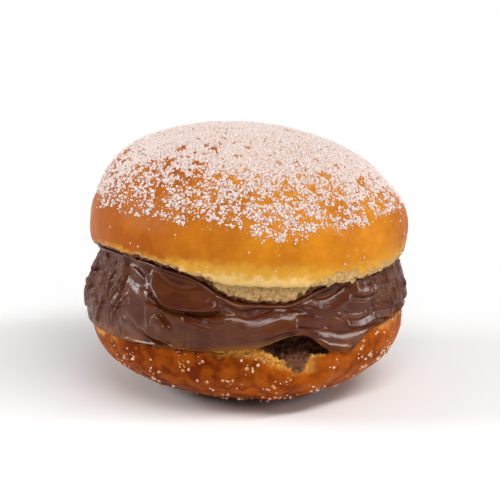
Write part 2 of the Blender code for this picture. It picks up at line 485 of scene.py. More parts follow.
def crumb_finish(colours):
    """Dry crumbs of crust and of sugar that has caught the frying fat."""
    made = Finish("crumb_flakes", 0.6)
    cloud = made.noise(1.6 * MM, 2.0)
    flake = made.mix(made.ramp(cloud, 0.4, 0.6), colours.flake, colours.pale_flake)
    return made.done(flake, soft=(0.2, (0.8, 0.5, 0.3)))


# Bun ----------------------------------------------------------------------------------------------------------


def mound(angle, height, centre, size):
    """1 at an azimuth and a height in mm, falling to 0 at a distance of size mm on a bun's side."""
    across = np.radians(angle - centre[0]) * BUN_SIDE
    return smooth(1.0, 0.0, np.hypot(across, height - centre[1]) / size)


def upper_surface(bun):
    """The upper half's points and the attributes that its finish reads."""
    counts = [2, 2, 3, 8, 10, 6, 8, 5, 5, 8, 7] + [8] * DOME_RINGS
    theta, points, normals, angle, row = mapped(lambda turn: upper_profile(turn, bun), counts, BUN_STEPS, bun)
    height = points[..., 2] / MM
    lip = sum(counts[:7])
    inside = smooth(lip + 4, lip - 2, row)
    above = height - upper_cut(theta, 1.0, bun)[:, None] / MM

    lumps = 0.4 * ripple(points, 16 * MM, 1) + 0.14 * ripple(points, 5 * MM, 2)
    lumps -= 0.7 * smooth(50, 56, height) + 1.6 * mound(angle, height, (-84, 63), 20)
    dough = 0.05 * ripple(points, 1.6 * MM, 3, 2)
    edge = smooth(lip - 6, lip + 2, row) * smooth(lip + 22, lip + 8, row)
    ragged = ripple(points, 2.6 * MM, 4, 3)
    torn_side = smooth(-52, -40, angle) * smooth(-8, -18, angle)
    torn_side += 1.2 * smooth(18, 28, angle) * smooth(125, 95, angle)
    reach = -0.5 + 2.6 * torn_side + (0.5 + 0.7 * torn_side) * (ragged + ripple(points, 5.5 * MM, 9))
    lip_crumb = smooth(0.5, -0.5, above - reach) * (1 - inside)
    crumb = np.clip(inside + lip_crumb, 0, 1)
    pits = pores(points, 1.5 * MM, 5, inside)
    lip_pits = pores(points, 0.9 * MM, 10, lip_crumb)
    torn = inside * (0.5 * ripple(points, 1.3 * MM, 6, 3) - 0.7 * pits)
    torn += lip_crumb * (0.3 * ripple(points, 0.9 * MM, 11, 3) - 0.45 * lip_pits - 0.15)
    notch = -1.3 * mound(angle, height, (80, 45.5), 3.2)
    relief = lumps + dough * (1 - inside) + torn + notch
    points += normals * (relief * MM)[..., None]
    fringe = ragged + 0.5 * ripple(points, 1.1 * MM, 12, 2)
    points[..., 2] += edge * (0.25 + 0.5 * torn_side) * fringe * MM

    away = np.abs(angle)
    wide = 4.0 + 5.5 * smooth(-48, 0, angle) - 3.0 * smooth(45, 100, away) + 1.2 * ripple(points, 7 * MM, 7)
    strength = 0.55 + 0.45 * smooth(-42, -16, angle) * smooth(34, 14, angle) - 0.15 * smooth(100, 150, away)
    pale = strength * smooth(1.0, 0.0, above / wide) * (1 - inside)
    # Browning plus painted shade: darker at the left, where the left lamp would otherwise light the crust too
    # brightly, and darker again past 50 degrees to the right
    toast_and_shade = 0.2 + 0.75 * smooth(12, -42, angle) * smooth(150, 100, away) + 0.2 * ripple(points, 22 * MM, 8)
    toast_and_shade += 0.35 * smooth(50, 80, angle)
    stained = smooth(-10, -22, angle) * smooth(-95, -60, angle)
    stained += 0.8 * smooth(34, 48, angle) * smooth(120, 90, angle)
    stain = stained * smooth(1.5, 0.2, above + 0.9 * ragged)
    hang = tongue(theta, 1.0, bun)[:, None] / MM
    tip = smooth(1.8, 0.2, above + hang + 0.8 * ragged) * smooth(0.3, 1.5, hang)
    stain += inside * (0.65 * tip + 1 - swell(theta, bun.tongue_angle, 1.25 * bun.tongue_spread)[:, None])
    stain = np.clip(stain, 0, 1)
    dust = sugar_cover(points, angle)
    return points, {"pale": pale, "toast_and_shade": toast_and_shade, "crumb": crumb, "stain": stain, "dust": dust}


def sugar_cover(points, angle):
    """0 to 1: how thickly the sugar lies on the crust."""
    height = points[..., 2] / MM
    edge = 53.8 - 2.6 * smooth(-12, 38, angle) * smooth(180, 110, angle)
    edge += -3.6 * smooth(22, 0, np.abs(angle - 13)) + 1.0 * ripple(points, 9 * MM, 21, 2)
    full = 67.5 - 7.0 * smooth(25, 85, angle) * smooth(180, 110, angle)
    level = smooth(-1.0, 1.8, height - edge) * (0.38 + 0.16 * smooth(edge, full, height))
    level += 0.5 * smooth(-3.5, 2.5, height - full)
    bare = 0.45 * mound(angle, height, (-27, 69), 8.0) + 0.25 * mound(angle, height, (-48, 66), 16.0)
    level *= 1 - bare
    level *= 1 - 0.75 * smooth(0.22, 0.5, ripple(points, 2.6 * MM, 25, 2))
    clumps = 0.55 * ripple(points, 2.1 * MM, 23, 2) + 0.3 * ripple(points, 6 * MM, 22, 2)
    return np.clip(level * (1 + clumps * smooth(1.0, 0.6, level)) + 0.1 * clumps * (level > 0.05), 0, 1)


def lower_surface(bun):
    """The lower half's points and the attributes that its finish reads."""
    counts = [3] + [8] * BOWL_RINGS + [8, 7, 10, 14, 12, 4, 2, 2]
    theta, points, normals, angle, row = mapped(lambda turn: lower_profile(turn, bun), counts, BUN_STEPS, bun)
    height = points[..., 2] / MM
    lip = sum(counts[: BOWL_RINGS + 2])
    inside = smooth(lip - 4, lip + 2, row)
    rim = lower_cut(theta, 1.0, bun) - bun.pocket_depth * pocket(theta, 1.0, bun)
    below = rim[:, None] / MM - height
    lifted = smooth(0.4, 3.0, height)

    ledge_low = 20.3 - 6.5 * smooth(-4, 22, angle)
    ragged = ripple(points, 2.4 * MM, 34, 3)
    ledge = smooth(-0.9, 0.5, height - ledge_low + ragged)
    ledge *= smooth(-17, -8, angle) * smooth(27, 20, angle) * (height > 9)
    lumps = 0.4 * ripple(points, 14 * MM, 31) + 0.16 * ripple(points, 4.5 * MM, 32)
    dough = 0.06 * ripple(points, 1.6 * MM, 33, 2)
    torn = np.clip(inside + ledge, 0, 1)
    pits = pores(points, 1.4 * MM, 35, torn)
    hollow = pocket(theta, 1.0, bun)[:, None] * inside
    crumbs = torn * (0.45 * ripple(points, 1.1 * MM, 36, 3) - 0.6 * pits) * (1 + hollow)
    crumbs -= 0.5 * ledge * (1 - inside)
    relief = (lumps + dough * (1 - torn) + crumbs) * lifted
    points += normals * (relief * MM)[..., None]
    points[..., 2] = np.maximum(points[..., 2] + smooth(lip - 14, lip, row) * ragged * 0.35 * MM, 0.0)
    height = points[..., 2] / MM

    pale = 0.75 * smooth(4.0, 0.0, below + 1.5 * ragged) * smooth(-40, -75, angle) * smooth(-125, -95, angle)
    pale += 0.5 * smooth(5.0, 0.5, below + 1.2 * ragged) * smooth(45, 60, angle) * smooth(150, 110, angle)
    # Browning plus painted shade: darker at the left and towards the floor, lighter at the front and towards the
    # right
    toast_and_shade = 0.5 + 0.35 * smooth(0, -25, angle) * smooth(-80, -50, angle) + 0.3 * smooth(9, 2, height)
    toast_and_shade -= 0.45 * mound(angle, height, (6, 11), 10) + 0.35 * smooth(45, 62, angle)
    toast_and_shade += 0.2 * ripple(points, 12 * MM, 37)
    stain = smooth(lip + 1, lip + 5, row)
    near = mound(angle, height, (17.5, 18.3), 7.0)
    stain = np.clip(stain + near * smooth(0.12, 0.4, near + 0.25 * ragged), 0, 1)
    dust = np.zeros_like(angle)
    return points, {"pale": pale, "toast_and_shade": toast_and_shade, "crumb": torn, "stain": stain, "dust": dust}


# Cream --------------------------------------------------------------------------------------------------------

# Folds that a knife left at the front: ((azimuth, height in mm), ...), width, rise, crease and lean.
# A fold leans down, with its crease below, at 1, and up at -1.
FRONT_FOLDS = (
    (
        ((-54, 43), (-45, 41.5), (-38, 38), (-34, 35.5), (-29, 33.3), (-20, 32.7), (-8, 33.2), (6, 33)),
        2.6, 1.4, 1.1, 1,
    ),
    (((-28, 34.6), (-23, 35.6), (-18, 37.2), (-14, 37), (-8, 35.3)), 1.6, 0.9, 0.5, -1),
    (((-62, 32), (-55, 29.7), (-46, 27.6), (-41, 25.7), (-35, 24), (-26, 22.8)), 2.2, 1.2, 0.9, 1),
    (((-44, 37), (-40, 33), (-37, 29), (-35, 25)), 3.8, 1.1, 0.0, 1),
    (((-34, 29.5), (-31.5, 27.4), (-29, 25)), 1.8, 1.3, 0.5, -1),
    (((-39, 32.8), (-36, 31.9), (-32, 31)), 0.9, 0.7, 0.5, -1),
    (((3, 24.5), (10, 26.6), (16, 27.2), (22, 25.8), (28, 22.6)), 2.2, 0.8, 0.0, 1),
    (((11, 34.6), (15, 34), (20, 35.2), (24, 34.4)), 0.9, 0.8, 0.4, 1),
    (((40, 35), (48, 33.4), (58, 34.6)), 2.4, 0.9, 0.4, 1),
)
STEEP_SHARE = 0.34  # how wide a fold's steep side is, beside its gentle one

# Flat faces that lean back above a line, up to a crease: ((azimuth, height in mm), ...), depth, width
TERRACES = (
    (
        ((-13, 31), (-5.5, 29), (-0.5, 27.2), (6, 28.6), (11, 29.8), (16, 29), (23, 27.8), (31, 26)),
        0.85, 3.2,
    ),
    (((16, 25.6), (24, 24.2), (32, 22.6)), 0.75, 1.8),
    (((18, 33), (25, 31), (30, 30.5), (36, 31.6), (43, 33.6)), 1.6, 3.5),
    (((-45, 40.5), (-36, 36.4), (-27, 33.8), (-18, 34.2), (-8, 34.6)), 0.9, 3.4),
    (((-24, 28.8), (-18, 27.4), (-12, 26)), 0.6, 1.6),
    (((-55, 26.5), (-46, 25), (-37, 25.6)), 1.9, 10.5),
    (((36, 26), (45, 24.4), (54, 25.5), (64, 24)), 0.9, 2.2),
)


def smooth_path(corners, steps=6):
    """A path's corners joined by a smooth curve."""
    corners = np.array(corners, float)
    knots = np.concatenate([[2 * corners[0] - corners[1]], corners, [2 * corners[-1] - corners[-2]]])
    t = (np.arange(steps) / steps)[:, None]
    spans = [through(*four, t) for four in zip(knots, knots[1:], knots[2:], knots[3:])]
    return np.concatenate(spans + [corners[-1:]])


def lay_fold(across, up, relief, slip, fold):
    """Adds one fold to the relief of the cream's side, and to how far it slips down over its crease, in mm."""
    corners, width, rise, crease, lean = fold
    path = smooth_path([(math.radians(angle) * CREAM_SIDE, height) for angle, height in corners])
    turn = 2 * math.pi * CREAM_SIDE
    middle = path[:, 0].mean()
    flat = (across - middle + turn / 2) % turn - turn / 2 + middle
    margin = 3 * width
    near = (flat > path[:, 0].min() - margin) & (flat < path[:, 0].max() + margin)
    near &= (up > path[:, 1].min() - margin) & (up < path[:, 1].max() + margin)
    spots = np.stack([flat[near], up[near]], axis=-1)
    starts, spans = path[:-1], np.diff(path, axis=0)
    lengths = np.maximum(np.linalg.norm(spans, axis=1), 1e-6)
    offset = spots[:, None] - starts
    along = np.clip((offset * spans).sum(-1) / lengths**2, 0, 1)
    gap = offset - along[..., None] * spans
    distance = np.linalg.norm(gap, axis=-1)
    best = distance.argmin(axis=1)
    pick = np.arange(len(spots))
    side = np.sign(spans[best, 0] * gap[pick, best, 1] - spans[best, 1] * gap[pick, best, 0])
    run = (np.concatenate([[0], np.cumsum(lengths)])[best] + along[pick, best] * lengths[best]) / lengths.sum()
    taper = smooth(0, 0.18, run) * smooth(1, 0.8, run)
    s = lean * side * distance[pick, best] / width
    ridge = np.where(s > 0, np.exp(-(s**2)), np.exp(-((s / STEEP_SHARE) ** 2)))
    groove = np.exp(-(((s + 0.75) / 0.28) ** 2))
    relief[near] += taper * (rise * ridge - crease * groove)
    slip[near] -= lean * taper * 0.45 * rise * np.exp(-((s / 0.6) ** 2))


def lay_terrace(angle, up, relief, terrace):
    """Smooths a face of the cream's side and leans it back, from a line up to a crease. Returns its mask."""
    corners, depth, width = terrace
    path = smooth_path(corners)
    line = np.interp(angle, path[:, 0], path[:, 1])
    span = path[-1, 0] - path[0, 0]
    run = (angle - path[0, 0]) / span
    taper = smooth(0, 0.12, run) * smooth(1, 0.85, run)
    rise = (up - line) / width
    lean = np.clip(rise, 0, 1) * smooth(3.2, 1.15, rise)
    crease = np.exp(-(((rise - 1.1) / 0.16) ** 2))
    face = taper * smooth(-0.35, 0.0, rise) * smooth(1.6, 1.15, rise)
    relief += 0.85 * face * (FACE_LEVEL - relief)
    relief -= taper * (depth * lean + 0.45 * crease)
    return face


def knife_folds(rng, count, angles, heights, slope, length, width, rise):
    """Folds laid at random within ranges, each as lay_fold takes them."""
    for _ in range(count):
        middle, level = rng.uniform(*angles), rng.uniform(*heights)
        half = rng.uniform(*length) / 2
        tilt = math.radians(rng.uniform(*slope))
        bend = rng.uniform(-0.18, 0.18) * half
        reach = math.degrees(half * math.cos(tilt) / STROKE_SIDE)
        lift = half * math.sin(tilt)
        ends = ((middle - reach, level - lift), (middle, level + bend), (middle + reach, level + lift))
        size = rng.uniform(*width)
        height = rng.uniform(*rise)
        yield ends, size, height, height * rng.uniform(0.3, 0.8), rng.choice((-1, 1))


def cream_surface(bun, cream):
    """The cream's points and the attributes that its finish reads."""
    counts = [1, 1, 1, 2, 2, 2, 3, 2] + [8] * CREAM_RINGS + [5, 3, 2, 1, 1, 1, 1]
    _, points, normals, angle, row = mapped(
        lambda turn: cream_profile(turn, bun, cream), counts, CREAM_STEPS, bun
    )
    up = points[..., 2] / MM
    first = sum(counts[:8])
    last = first + 8 * CREAM_RINGS
    share = np.clip((row - first) / (last - first), 0, 1)
    side = smooth(first - 2, first + 5, row) * smooth(last + 3, last - 5, row)

    relief, slip = np.zeros_like(angle), np.zeros_like(angle)
    across = np.radians(angle) * CREAM_SIDE
    rng = np.random.default_rng(7)
    folds = list(FRONT_FOLDS)
    folds += knife_folds(rng, 24, (80, 282), (23, 39), (-28, 28), (14, 38), (1.6, 3.2), (0.5, 1.0))
    folds += knife_folds(rng, 32, (58, 300), (22, 40), (-50, 50), (6, 14), (0.8, 1.6), (0.3, 0.7))
    folds += knife_folds(rng, 34, (-86, -52), (25, 43), (48, 75), (5, 12), (0.6, 1.2), (0.3, 0.7))
    folds += knife_folds(rng, 30, (52, 88), (25, 41), (70, 110), (4, 10), (0.6, 1.3), (0.25, 0.6))
    folds += knife_folds(rng, 8, (-50, 50), (22, 38), (-35, 20), (4, 9), (0.7, 1.3), (0.15, 0.3))
    for fold in folds:
        lay_fold(across, up, relief, slip, fold)
    relief = FOLD_GAIN * relief - FOLD_SINK
    left = smooth(-48, -75, angle) * smooth(-130, -100, angle)
    right = smooth(48, 75, angle) * smooth(130, 100, angle)
    relief += left * (0.6 * smooth(29, 25, up) - 1.2 * smooth(28, 34, up)) - 0.6 * right
    faces = np.clip(sum(lay_terrace(angle, up, relief, terrace) for terrace in TERRACES), 0, 1)
    slip *= 1 - 0.9 * faces

    crumbly = mound(angle, up, (-23.5, 23.5), 4.6)
    smear = smooth(-46, -62, angle) * smooth(-150, -110, angle)
    smear += smooth(46, 60, angle) * smooth(130, 100, angle) + 0.8 * crumbly
    smear += smooth(0.15, 0.5, ripple(points, 15 * MM, 41)) * smooth(100, 125, np.abs(angle))
    smear = np.clip(smear, 0, 1)
    calm = (1 - 0.7 * smooth(60, 45, np.abs(angle))) * (1 - 0.8 * faces)
    rolling = calm * (0.7 * ripple(points, 11 * MM, 42, stretch=(1, 1, 0.6)) + 0.2 * ripple(points, 4 * MM, 43))
    rough = ripple(points, 1.5 * MM, 44, 3, stretch=(1, 1, 1.5))
    relief += rolling + smear * 0.4 * rough + 0.03 * rough
    relief += crumbly * (0.5 * ripple(points, 0.9 * MM, 45, 2) - 0.3)
    most = 2.2 - 1.5 * smooth(48, 70, np.abs(angle))
    relief = np.maximum(most - 0.8 * np.log1p(np.exp((most - relief) / 0.8)), -3.0)
    points += normals * (relief * side * MM)[..., None]
    points[..., 2] += slip * side * MM
    thin = smooth(0.2, 0.0, share) * smooth(-0.3, 0.5, ripple(points, 8 * MM, 46))
    return points, {"smear": smear, "thin": thin}


# Sugar and crumbs ---------------------------------------------------------------------------------------------


def scattered(points, weight, spacing, count, rng):
    """Places and normals drawn at random on a grid of points, by weight and at least about a spacing apart."""
    beside = np.roll(points, -1, axis=0)
    corners = np.stack([points[:, :-1], beside[:, :-1], beside[:, 1:], points[:, 1:]])
    facing = np.cross(corners[2] - corners[0], corners[3] - corners[1])
    area = np.linalg.norm(facing, axis=-1)
    chance = (area * weight[:, :-1]).ravel()
    chosen = rng.choice(chance.size, size=count, p=chance / chance.sum())
    column, row = np.unravel_index(chosen, area.shape)
    u, v = rng.random((2, count, 1))
    a, b, c, d = (corner[column, row] for corner in corners)
    places = (1 - u) * (1 - v) * a + u * (1 - v) * b + u * v * c + (1 - u) * v * d
    normals = facing[column, row] / np.maximum(area[column, row, None], 1e-15)
    cells = np.floor(places / spacing).astype(np.int64)
    kept = np.unique(cells, axis=0, return_index=True)[1]
    kept.sort()
    return places[kept], normals[kept]


def random_turns(count, rng):
    """Rotation matrices spread evenly over all turns."""
    q = rng.normal(size=(count, 4))
    w, x, y, z = (q / np.linalg.norm(q, axis=1, keepdims=True)).T
    rows = (
        (1 - 2 * (y * y + z * z), 2 * (x * y - z * w), 2 * (x * z + y * w)),
        (2 * (x * y + z * w), 1 - 2 * (x * x + z * z), 2 * (y * z - x * w)),
        (2 * (x * z - y * w), 2 * (y * z + x * w), 1 - 2 * (x * x + y * y)),
    )
    return np.moveaxis(np.array(rows), -1, 0)


def grain_shapes(kind, rng, variants=6):
    """Vertices of a few grains one unit across, and the triangles that they share."""
    shapes = []
    for _ in range(variants):
        bm = bmesh.new()
        if kind == "speck":
            bmesh.ops.create_uvsphere(bm, u_segments=4, v_segments=2, radius=0.5)
        else:
            bmesh.ops.create_icosphere(bm, subdivisions=1, radius=0.5)
        stretch = rng.uniform(0.7, 1.2, 3)
        for vert in bm.verts:
            vert.co = Vector(np.array(vert.co) * stretch + rng.normal(0, 0.06, 3))
        bmesh.ops.triangulate(bm, faces=bm.faces)
        bmesh.ops.recalc_face_normals(bm, faces=bm.faces)
        bm.verts.index_update()
        shapes.append([tuple(vert.co) for vert in bm.verts])
        faces = [[vert.index for vert in face.verts] for face in bm.faces]
        bm.free()
    return np.array(shapes), np.array(faces)


def joined_grains(name, kind, places, sizes, rng):
    """One object of grains that lie at the given places, turned at random."""
    shapes, faces = grain_shapes(kind, rng)
    shape = shapes[rng.integers(len(shapes), size=len(places))]
    turned = np.einsum("nij,nvj->nvi", random_turns(len(places), rng), shape)
    corners = places[:, None] + turned * sizes[:, None, None]
    loops = (faces[None] + shape.shape[1] * np.arange(len(places))[:, None, None]).reshape(-1)
    mesh = bpy.data.meshes.new(name)
    mesh.vertices.add(corners.shape[0] * corners.shape[1])
    mesh.vertices.foreach_set("co", corners.astype(np.float32).ravel())
    mesh.loops.add(len(loops))
    mesh.loops.foreach_set("vertex_index", loops)
    mesh.polygons.add(len(loops) // 3)
    mesh.polygons.foreach_set("loop_start", np.arange(0, len(loops), 3))
    mesh.update(calc_edges=True)
    mesh.validate()
    mesh.shade_smooth()
    piece = bpy.data.objects.new(name, mesh)
    bpy.context.scene.collection.objects.link(piece)
    return piece


# Settings -----------------------------------------------------------------------------------------------------


def length(name, description, default):
    return FloatProperty(name=name, description=description, default=default, unit="LENGTH", precision=5)


def number(name, description, default):
    return FloatProperty(name=name, description=description, default=default, precision=3)


def turn(name, description, default):
    return FloatProperty(name=name, description=description, default=default, subtype="ANGLE")


def colour(name, description, default):
    return FloatVectorProperty(
        name=name, description=description, default=(*default, 1.0), size=4, subtype="COLOR", min=0, max=1
    )


class BunSettings(bpy.types.PropertyGroup):
    upper_radius: length("Upper Radius", "Radius of the upper half at its widest", 44.0 * MM)
    total_height: length("Height", "Height of the whole doughnut", 73.0 * MM)
    lower_radius: length("Lower Radius", "Radius of the lower half at its rim", 43.2 * MM)
    foot_sink: length("Foot Sink", "How much of the rounded underside is pressed flat", 0.9 * MM)
    lower_height: length("Lower Cut", "Height of the lower cut", 22.3 * MM)
    upper_cut_height: length("Upper Cut", "Height of the upper cut", 39.8 * MM)
    waist_height: length("Waist", "Height where the upper half is widest", 46.5 * MM)
    crust_lip: length("Crust Lip", "Thickness of the crust where it is cut", 1.6 * MM)
    undercut: length("Undercut", "How far the side draws in from the waist to the cut", 0.6 * MM)
    lower_shift: length("Lower Shift", "How far the lower rim sits off to one side", -0.6 * MM)
    foot_shift: length("Foot Shift", "How far the foot sits off to one side", 2.2 * MM)
    tongue_drop: length("Tongue Drop", "How far the torn crumb hangs below the upper cut", 5.0 * MM)
    pocket_depth: length("Pocket Depth", "Depth of the torn hollow in the lower half", 5.0 * MM)
    tongue_angle: turn("Tongue Angle", "Where the torn crumb hangs", azimuth(5))
    tongue_spread: turn("Tongue Spread", "How far the torn crumb reaches each way", math.radians(29))
    pocket_angle: turn("Pocket Angle", "Where the torn hollow is", azimuth(20))
    pocket_spread: turn("Pocket Spread", "How far the torn hollow reaches each way", math.radians(18))
    dome_power: number("Dome Power", "2 is an ellipse, and more is squarer at the shoulder", 2.2)
    dome_power_sway: number("Dome Sway", "Added to the power towards +X and taken off towards -X", -0.25)
    bowl_power: number("Bowl Power", "The same power for the lower half", 2.2)
    crust: colour("Crust", "Golden crust", (0.62, 0.225, 0.01))
    dark_crust: colour("Dark Crust", "Browner crust", (0.36, 0.085, 0.006))
    scorch: colour("Scorch", "Small dark specks", (0.3, 0.07, 0.01))
    band: colour("Band", "Yellow crust near the cut", (0.63, 0.31, 0.035))
    cream_band: colour("Cream Band", "Palest crust, at the cut", (0.76, 0.5, 0.18))
    crumb: colour("Crumb", "Crumb where the bun is torn", (0.57, 0.37, 0.15))
    # Painted shade for the crumb's hollows
    crumb_hollow_shade: colour("Dark Crumb", "Hollows of the crumb", (0.36, 0.2, 0.08))
    stain: colour("Stain", "Crumb stained by the cream", (0.14, 0.055, 0.025))
    # Painted shade for the stained crumb's hollows
    stain_hollow_shade: colour("Dark Stain", "Hollows of the stained crumb", (0.03, 0.012, 0.007))
    sugar_dust: colour("Sugar Dust", "The finest sugar on the crust", (0.85, 0.7, 0.62))
    flake: colour("Flake", "Crumbs on the lower half", (0.6, 0.28, 0.1))
    pale_flake: colour("Pale Flake", "Paler crumbs", (0.8, 0.56, 0.4))


class LowerCrustSettings(bpy.types.PropertyGroup):
    crust: colour("Crust", "Crust of the lower half", (0.43, 0.095, 0.004))
    dark_crust: colour("Dark Crust", "Its browner patches", (0.15, 0.021, 0.002))
    scorch: colour("Scorch", "Small dark specks", (0.14, 0.03, 0.008))
    band: colour("Band", "Orange crust near the cut", (0.62, 0.24, 0.05))
    cream_band: colour("Cream Band", "Palest crust, at the cut", (0.66, 0.34, 0.12))
    crumb: colour("Crumb", "Torn ledge under the cream", (0.62, 0.31, 0.06))
    # Painted shade for the crumb's hollows
    crumb_hollow_shade: colour("Dark Crumb", "Hollows of the crumb", (0.4, 0.13, 0.02))
    stain: colour("Stain", "Crumb stained by the cream", (0.15, 0.062, 0.033))
    # Painted shade for the stained crumb's hollows
    stain_hollow_shade: colour("Dark Stain", "Hollows of the stained crumb", (0.045, 0.02, 0.013))
    sugar_dust: colour("Sugar Dust", "The finest sugar on the crust", (0.85, 0.7, 0.62))


class CreamSettings(bpy.types.PropertyGroup):
    gap: length("Gap", "Gap between cream and crumb", 0.3 * MM)
    bulge: length("Bulge", "How far the cream stands out past the crusts", 1.4 * MM)
    droop: length("Droop", "How far the cream hangs over the lower rim", 0.8 * MM)
    arch: length("Arch", "How far the cream lifts over the pocket", 1.8 * MM)
    lobe_drop: length("Lobe Drop", "How far its lobe hangs further", 4.6 * MM)
    lobe_angle: turn("Lobe Angle", "Where the lobe hangs", azimuth(34))
    lobe_spread: turn("Lobe Spread", "How far the lobe reaches each way", math.radians(16))
    shine: number("Shine", "Specular level of the cream", 0.28)
    dark: colour("Dark", "Thick cream", (0.064, 0.0085, 0.001))
    light: colour("Light", "Paler streaks in the cream", (0.106, 0.026, 0.005))
    edge: colour("Edge", "Thin edges of the cream", (0.2, 0.062, 0.01))


class SugarSettings(bpy.types.PropertyGroup):
    grain: length("Grain", "Size of a coarse sugar grain", 0.74 * MM)
    middling_grain: length("Middling Grain", "Size of a middling sugar grain", 0.52 * MM)
    fine_grain: length("Fine Grain", "Size of a fine sugar grain", 0.32 * MM)
    seed: IntProperty(name="Seed", description="Changes where the grains fall", default=5, min=0)
    colour: colour("Colour", "Sugar", (0.82, 0.69, 0.665))
    tint: colour("Tint", "Sugar lit through by the crust", (0.78, 0.6, 0.52))


class StageSettings(bpy.types.PropertyGroup):
    distance: length("Distance", "From the camera to what it aims at", 0.6)
    elevation: turn("Elevation", "How far the camera looks down", math.radians(14))
    lens: number("Lens", "Focal length of the camera in millimetres", 153.8)
    floor: colour("Floor", "Pale floor", (0.93, 0.93, 0.93))
    room_light: number("Room Light", "Even light from all sides", 0.33)


# Operators ----------------------------------------------------------------------------------------------------


class DOUGHNUT_OT_upper_half(bpy.types.Operator):
    """Models the domed upper half of the bun"""

    bl_idname = "doughnut.upper_half"
    bl_label = "Upper Half"

    def execute(self, context):
        bun = context.scene.doughnut_bun
        points, looks = upper_surface(bun)
        piece = wrapped_mesh("upper_bun", points, looks)
        place_piece(piece, crust_finish("golden_crust", bun, 0.06, 0.9, 0.08), "bun_upper_half")
        return {"FINISHED"}


class DOUGHNUT_OT_lower_half(bpy.types.Operator):
    """Models the rounded lower half of the bun, with its torn ledge and pocket"""

    bl_idname = "doughnut.lower_half"
    bl_label = "Lower Half"

    def execute(self, context):
        points, looks = lower_surface(context.scene.doughnut_bun)
        piece = wrapped_mesh("lower_bun", points, looks)
        finish = crust_finish("dark_crust_finish", context.scene.doughnut_lower_crust, 0.02, 0.0, 0.4)
        place_piece(piece, finish, "bun_lower_half")
        return {"FINISHED"}


class DOUGHNUT_OT_cream(bpy.types.Operator):
    """Models the spread chocolate cream, with the folds that a knife left"""

    bl_idname = "doughnut.cream"
    bl_label = "Chocolate Cream"

    def execute(self, context):
        cream = context.scene.doughnut_cream
        points, looks = cream_surface(context.scene.doughnut_bun, cream)
        piece = wrapped_mesh("spread_cream", points, looks)
        place_piece(piece, cream_finish(cream), "chocolate_cream")
        return {"FINISHED"}


class DOUGHNUT_OT_sugar(bpy.types.Operator):
    """Scatters sugar over the dome, as three sizes of grain"""

    bl_idname = "doughnut.sugar"
    bl_label = "Sugar"

    def execute(self, context):
        bun, sugar = context.scene.doughnut_bun, context.scene.doughnut_sugar
        rng = np.random.default_rng(sugar.seed)
        points, looks = upper_surface(bun)
        cover = looks["dust"]
        clumped = cover * smooth(0.2, 0.6, cover + 0.35 * ripple(points, 1.7 * MM, 24, 2))
        finish = sugar_finish("sugar", sugar.colour, sugar.tint)
        kinds = (
            ("sugar_grains", "blob", clumped, sugar.grain, 0.8, 40000, 9800),
            ("sugar_middling", "blob", clumped, sugar.middling_grain, 0.8, 40000, 9800),
            ("sugar_fine", "speck", cover**1.5, sugar.fine_grain, 0.8, 60000, 24000),
        )
        for name, kind, weight, size, spacing, drawn, most in kinds:
            places, normals = scattered(points, weight, spacing * size, drawn, rng)
            order = rng.permutation(len(places))[:most]
            sizes = size * rng.uniform(0.7, 1.35, len(order))
            spots = places[order] + normals[order] * (0.15 * sizes)[:, None]
            piece = joined_grains(name, kind, spots, sizes, rng)
            place_piece(piece, finish, None)
        return {"FINISHED"}


class DOUGHNUT_OT_crumbs(bpy.types.Operator):
    """Scatters crumbs and stray sugar over the lower half and the bare crust"""

    bl_idname = "doughnut.crumbs"
    bl_label = "Crumbs"

    def execute(self, context):
        bun, sugar = context.scene.doughnut_bun, context.scene.doughnut_sugar
        rng = np.random.default_rng(sugar.seed + 1)
        upper, looks = upper_surface(bun)
        lower, lower_looks = lower_surface(bun)
        bare = (looks["crumb"] < 0.1) * (0.02 + 0.2 * looks["dust"]) * (looks["dust"] < 0.4)
        side = (lower[..., 2] > 2 * MM) * (1 - lower_looks["crumb"])
        angle = azimuths(lower, bun_axis(bun))
        clumps = smooth(0.1, 0.5, ripple(lower, 6 * MM, 51, 2)) + 0.1
        clumps += 0.5 * mound(angle, lower[..., 2] / MM, (60, 16), 12)
        stray, out = scattered(upper, bare, 1.2 * MM, 210, rng)
        more, more_out = scattered(lower, side * clumps, 0.7 * MM, 130, rng)
        places, normals = np.concatenate([stray, more]), np.concatenate([out, more_out])
        sizes = sugar.middling_grain * rng.uniform(0.5, 1.3, len(places))
        piece = joined_grains("stray_sugar", "blob", places + normals * (0.2 * sizes)[:, None], sizes, rng)
        place_piece(piece, sugar_finish("stray_sugar", sugar.tint, bun.pale_flake), None)
        places, normals = scattered(lower, side * clumps**2, 0.6 * MM, 480, rng)
        sizes = 0.7 * MM * rng.uniform(0.4, 1.5, len(places))
        piece = joined_grains("crumb_flakes", "blob", places + normals * (0.1 * sizes)[:, None], sizes, rng)
        place_piece(piece, crumb_finish(bun), None)
        return {"FINISHED"}


# Stage: the soft lights as (name, place, size across and up, power in watts), and the floor with its low wall
LAMPS = (
    ("front_box", (0.245, -0.375, 0.58), (0.9, 0.125), 4.4),
    ("left_box", (-0.65, -0.04, 0.3), (0.32, 0.2), 2.8),
    ("right_box", (0.68, -0.1, 0.24), (0.12, 0.24), 1.2),
)
LAMP_AIM = Vector((0, 0, 0.04))
FLOOR_RADIUS = 3.0
WALL_HEIGHT = 0.6
FADE_START = 0.055
FADE_END = 0.17


def lamp(name, place, size, power):
    """A soft oblong light that shines from a place towards the doughnut."""
    data = bpy.data.lights.new(name, "AREA")
    data.shape = "RECTANGLE"
    data.size, data.size_y = size
    data.energy = power
    made = bpy.data.objects.new(name, data)
    bpy.context.scene.collection.objects.link(made)
    made.location = place
    made.rotation_euler = (LAMP_AIM - Vector(place)).to_track_quat("-Z", "Y").to_euler()
    return made


